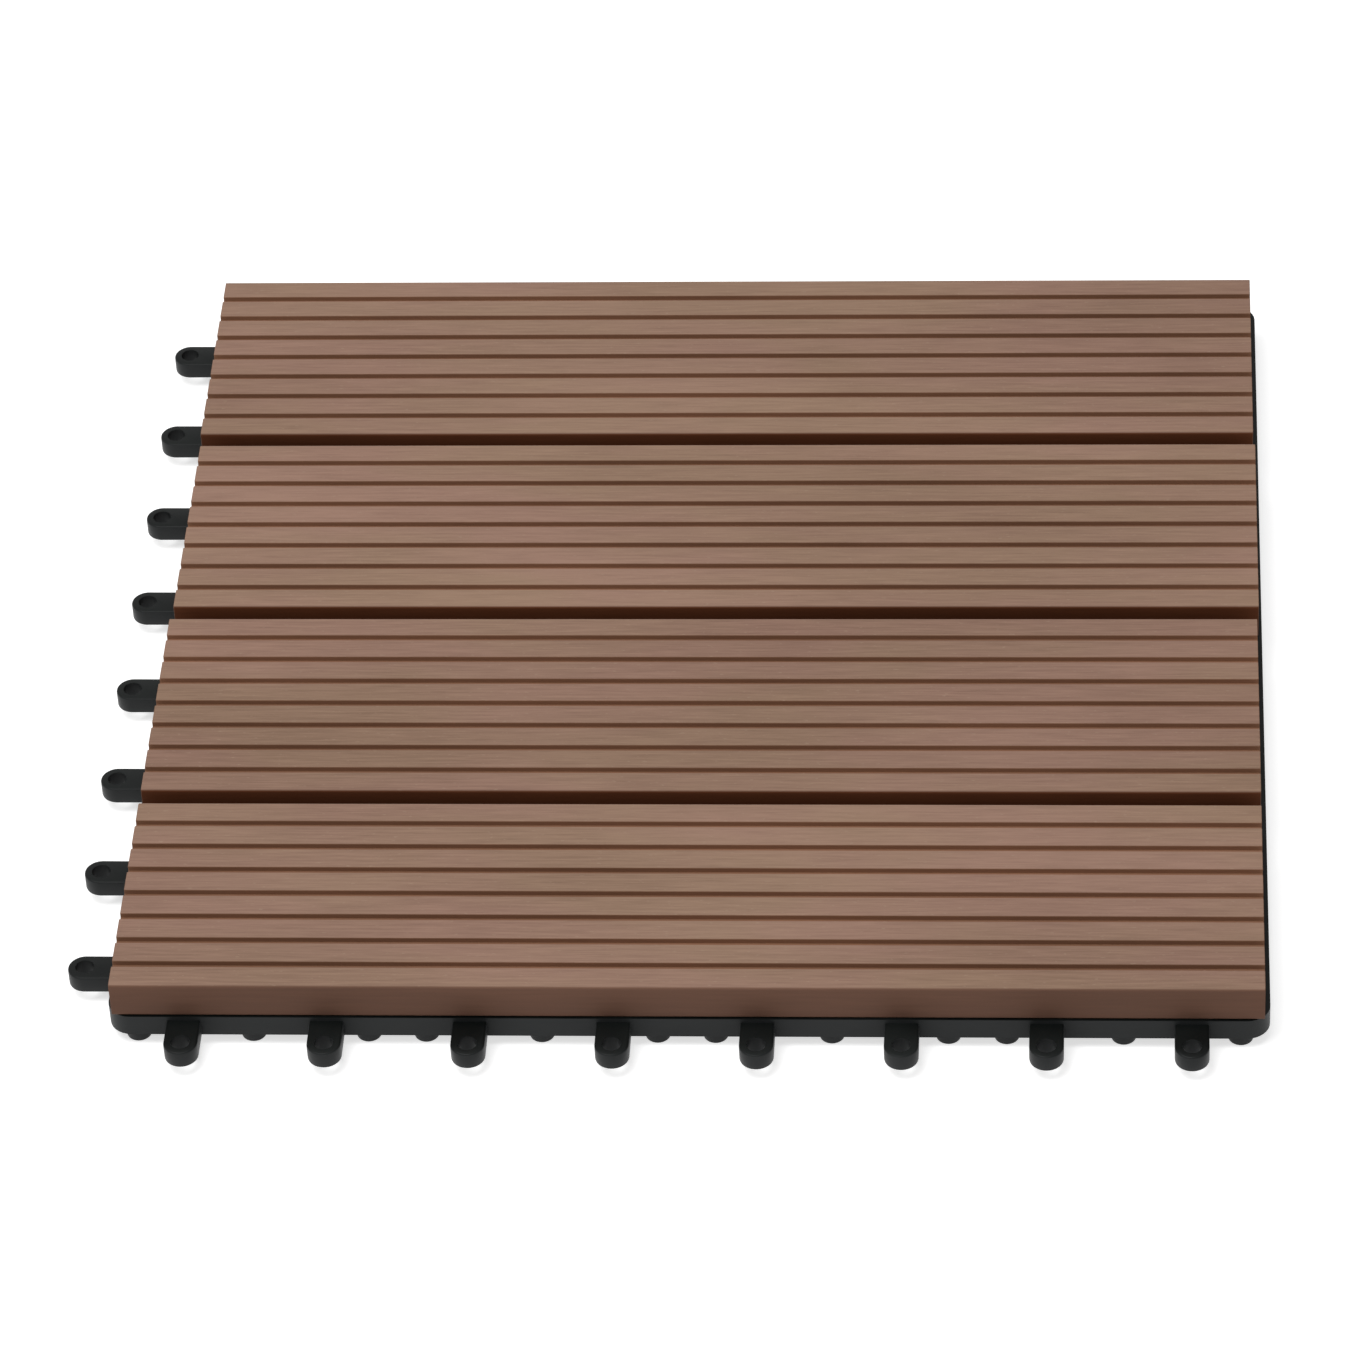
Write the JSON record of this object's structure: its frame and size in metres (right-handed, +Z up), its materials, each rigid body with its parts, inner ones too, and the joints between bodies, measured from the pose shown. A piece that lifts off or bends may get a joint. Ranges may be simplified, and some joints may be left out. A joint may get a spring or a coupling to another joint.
{
  "type": "interlocking deck tile",
  "caption": "Square deck tile: grooved composite slats screwed to a moulded base grid, with looped tongues on two sides and pegs in notches on the other two.",
  "frame": {"origin": "middle of the whole tile's outline, tongues included, on the floor under the feet; the middle of the 300 mm square that the tile takes up in a floor lies 6.175 mm from it towards +X and +Y", "axes": "+Z up, from the feet to the walked surface; slats and grooves run along X; tongues point to -X and -Y; neighbours follow at 300 mm along X and Y"},
  "size_m": [0.3096, 0.3096, 0.02],
  "materials": {
    "composite": "brown wood-plastic composite, brushed, with fine streaks along the slat",
    "base_plastic": "black polypropylene, fine moulded grain",
    "screw_steel": "zinc plated steel"
  },
  "bodies": {
    "root": {"base_grid": "base_plastic", "slat_1": "composite", "slat_2": "composite", "slat_3": "composite", "slat_4": "composite", "slat_screws": "screw_steel"}
  },
  "joints": []
}
